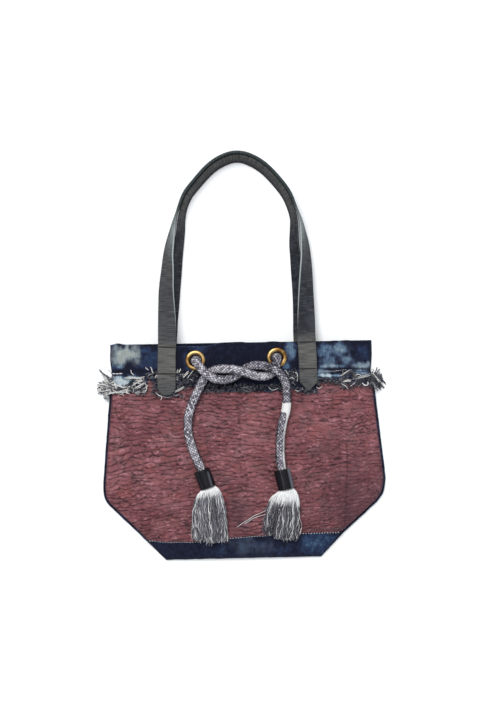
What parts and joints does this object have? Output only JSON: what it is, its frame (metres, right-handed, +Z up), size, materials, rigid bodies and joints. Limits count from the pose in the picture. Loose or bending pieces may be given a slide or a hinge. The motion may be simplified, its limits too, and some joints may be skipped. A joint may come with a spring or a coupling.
{
  "type": "tote bag",
  "caption": "Soft hexagonal tote bag lying on its back, with a frayed denim band, an embossed leather front, strap handles and a knotted rope drawcord with tassels.",
  "frame": {"origin": "centre of the bag with its handles, on the surface that it lies on", "axes": "+X across the bag to the right as seen from the front, +Y from the bottom of the bag to the top of its handles, +Z up from the surface, out of the front"},
  "size_m": [0.3978, 0.5646, 0.0538],
  "materials": {
    "burgundy_leather": "embossed matt",
    "denim": "twill weave, bleached in patches",
    "frayed_cotton": "raw threads",
    "strap_leather": "worn satin",
    "collar_leather": "smooth satin",
    "brass": "polished",
    "rope": "braided cotton"
  },
  "bodies": {
    "root": {"front_panel": "burgundy_leather", "bottom_trim": "denim", "back_panel": "denim", "band_front": "denim", "band_back": "denim", "fringe_front": "frayed_cotton", "fringe_back": "frayed_cotton", "strap_front": "strap_leather", "strap_back": "strap_leather", "eyelet_left": "brass", "eyelet_right": "brass", "rope_right": "rope", "rope_left": "rope", "collar_left": "collar_leather", "collar_right": "collar_leather", "tassel_left": "rope", "tassel_right": "rope"}
  },
  "joints": []
}
